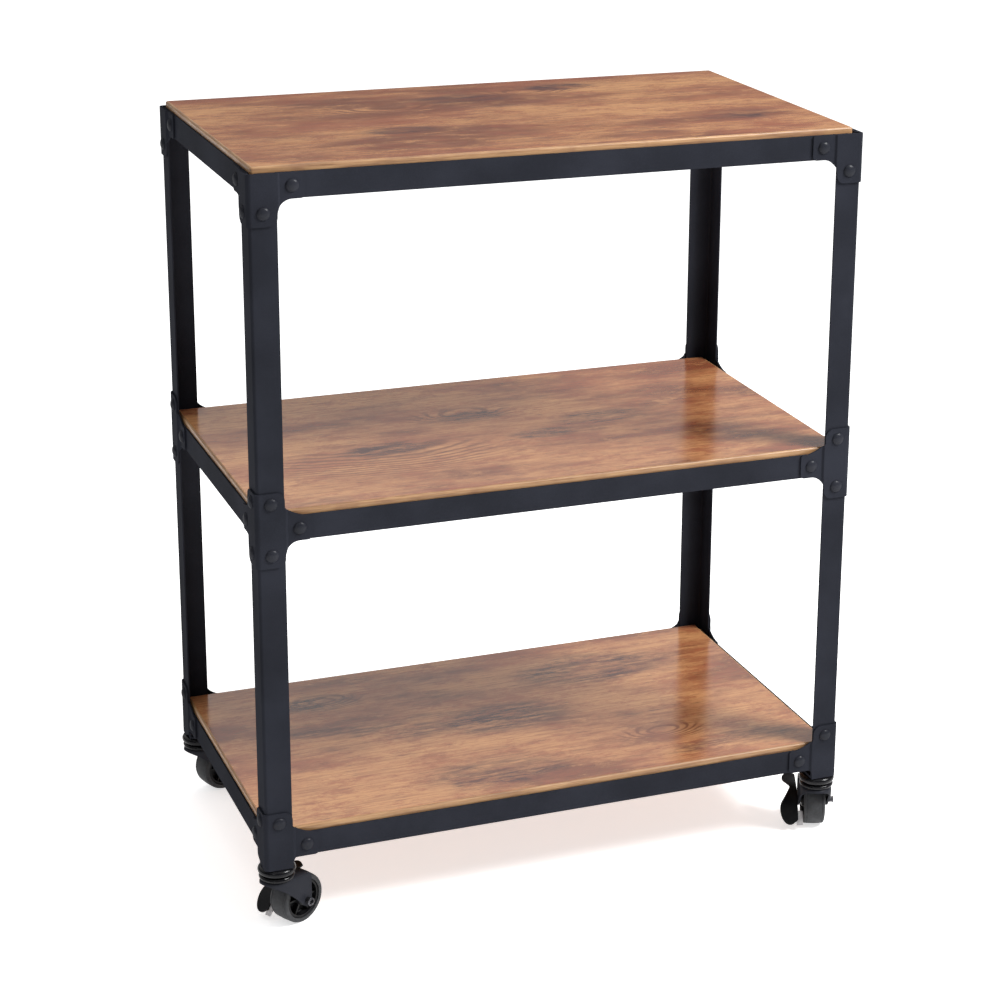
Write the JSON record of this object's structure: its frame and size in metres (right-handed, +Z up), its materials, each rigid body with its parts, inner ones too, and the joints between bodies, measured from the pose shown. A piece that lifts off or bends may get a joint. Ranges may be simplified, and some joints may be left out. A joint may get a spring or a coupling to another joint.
{
  "type": "bar cart on casters",
  "caption": "Tiered serving cart: angle-steel corner posts, railed wood-effect shelves bolted through corner gussets, and swivel casters, the front ones with rocker brakes.",
  "frame": {"origin": "on the floor, under the middle of the cart", "axes": "+X along the length, towards the right end; -Y is the front; +Z up"},
  "size_m": [0.6187, 0.3574, 0.7455],
  "materials": {
    "frame_steel": "satin charcoal powder coat, blue-grey in the light",
    "shelf_board": "rustic brown wood-effect laminate, semi-gloss, tan rounded edges",
    "race_metal": "glossy black",
    "fork_steel": "dark satin coated steel",
    "hub_plastic": "moulded, satin",
    "tyre_rubber": "dark grey rubber",
    "pedal_plastic": "black, fine grained"
  },
  "bodies": {
    "frame": {"post_fl": "frame_steel", "post_fr": "frame_steel", "post_rl": "frame_steel", "post_rr": "frame_steel", "rail_bottom_front": "frame_steel", "rail_bottom_right": "frame_steel", "rail_bottom_back": "frame_steel", "rail_bottom_left": "frame_steel", "rail_middle_front": "frame_steel", "rail_middle_right": "frame_steel", "rail_middle_back": "frame_steel", "rail_middle_left": "frame_steel", "rail_top_front": "frame_steel", "rail_top_right": "frame_steel", "rail_top_back": "frame_steel", "rail_top_left": "frame_steel", "board_bottom": "shelf_board", "board_middle": "shelf_board", "board_top": "shelf_board", "gusset_bottom_fl": "frame_steel", "gusset_bottom_fr": "frame_steel", "gusset_bottom_rl": "frame_steel", "gusset_bottom_rr": "frame_steel", "gusset_middle_fl": "frame_steel", "gusset_middle_fr": "frame_steel", "gusset_middle_rl": "frame_steel", "gusset_middle_rr": "frame_steel", "gusset_top_fl": "frame_steel", "gusset_top_fr": "frame_steel", "gusset_top_rl": "frame_steel", "gusset_top_rr": "frame_steel", "caster_seat_fl": "frame_steel", "caster_seat_fr": "frame_steel", "caster_seat_rl": "frame_steel", "caster_seat_rr": "frame_steel", "caster_stem_fl": "race_metal", "caster_stem_fr": "race_metal", "caster_stem_rl": "race_metal", "caster_stem_rr": "race_metal"},
    "caster_fl": {"fork_fl": "fork_steel", "axle_fl": "race_metal"},
    "wheel_fl": {"wheel_hub_fl": "hub_plastic", "tyre_fl": "tyre_rubber"},
    "pedal_fl": {"brake_pedal_fl": "pedal_plastic"},
    "caster_fr": {"fork_fr": "fork_steel", "axle_fr": "race_metal"},
    "wheel_fr": {"wheel_hub_fr": "hub_plastic", "tyre_fr": "tyre_rubber"},
    "pedal_fr": {"brake_pedal_fr": "pedal_plastic"},
    "caster_rl": {"fork_rl": "fork_steel", "axle_rl": "race_metal"},
    "wheel_rl": {"wheel_hub_rl": "hub_plastic", "tyre_rl": "tyre_rubber"},
    "caster_rr": {"fork_rr": "fork_steel", "axle_rr": "race_metal"},
    "wheel_rr": {"wheel_hub_rr": "hub_plastic", "tyre_rr": "tyre_rubber"}
  },
  "joints": [
    {"name": "swivel_fl", "type": "hinge", "parent": "frame", "child": "caster_fl", "pos_m": [-0.287, -0.157, 0.06], "axis": [0, 0, 1], "continuous": true},
    {"name": "spin_fl", "type": "hinge", "parent": "caster_fl", "child": "wheel_fl", "pos_m": [-0.26581, -0.14573, 0.025], "axis": [-0.4695, 0.8829, 0], "continuous": true},
    {"name": "brake_fl", "type": "hinge", "parent": "caster_fl", "child": "pedal_fl", "pos_m": [-0.26581, -0.14573, 0.025], "axis": [-0.4695, 0.8829, 0], "range_deg": [0, 22]},
    {"name": "swivel_fr", "type": "hinge", "parent": "frame", "child": "caster_fr", "pos_m": [0.287, -0.157, 0.06], "axis": [0, 0, 1], "continuous": true},
    {"name": "spin_fr", "type": "hinge", "parent": "caster_fr", "child": "wheel_fr", "pos_m": [0.29521, -0.13445, 0.025], "axis": [-0.9397, 0.342, 0], "continuous": true},
    {"name": "brake_fr", "type": "hinge", "parent": "caster_fr", "child": "pedal_fr", "pos_m": [0.29521, -0.13445, 0.025], "axis": [-0.9397, 0.342, 0], "range_deg": [0, 22]},
    {"name": "swivel_rl", "type": "hinge", "parent": "frame", "child": "caster_rl", "pos_m": [-0.287, 0.157, 0.06], "axis": [0, 0, 1], "continuous": true},
    {"name": "spin_rl", "type": "hinge", "parent": "caster_rl", "child": "wheel_rl", "pos_m": [-0.26417, 0.16442, 0.025], "axis": [-0.309, 0.9511, 0], "continuous": true},
    {"name": "swivel_rr", "type": "hinge", "parent": "frame", "child": "caster_rr", "pos_m": [0.287, 0.157, 0.06], "axis": [0, 0, 1], "continuous": true},
    {"name": "spin_rr", "type": "hinge", "parent": "caster_rr", "child": "wheel_rr", "pos_m": [0.27003, 0.14003, 0.025], "axis": [0.7071, -0.7071, 0], "continuous": true}
  ]
}
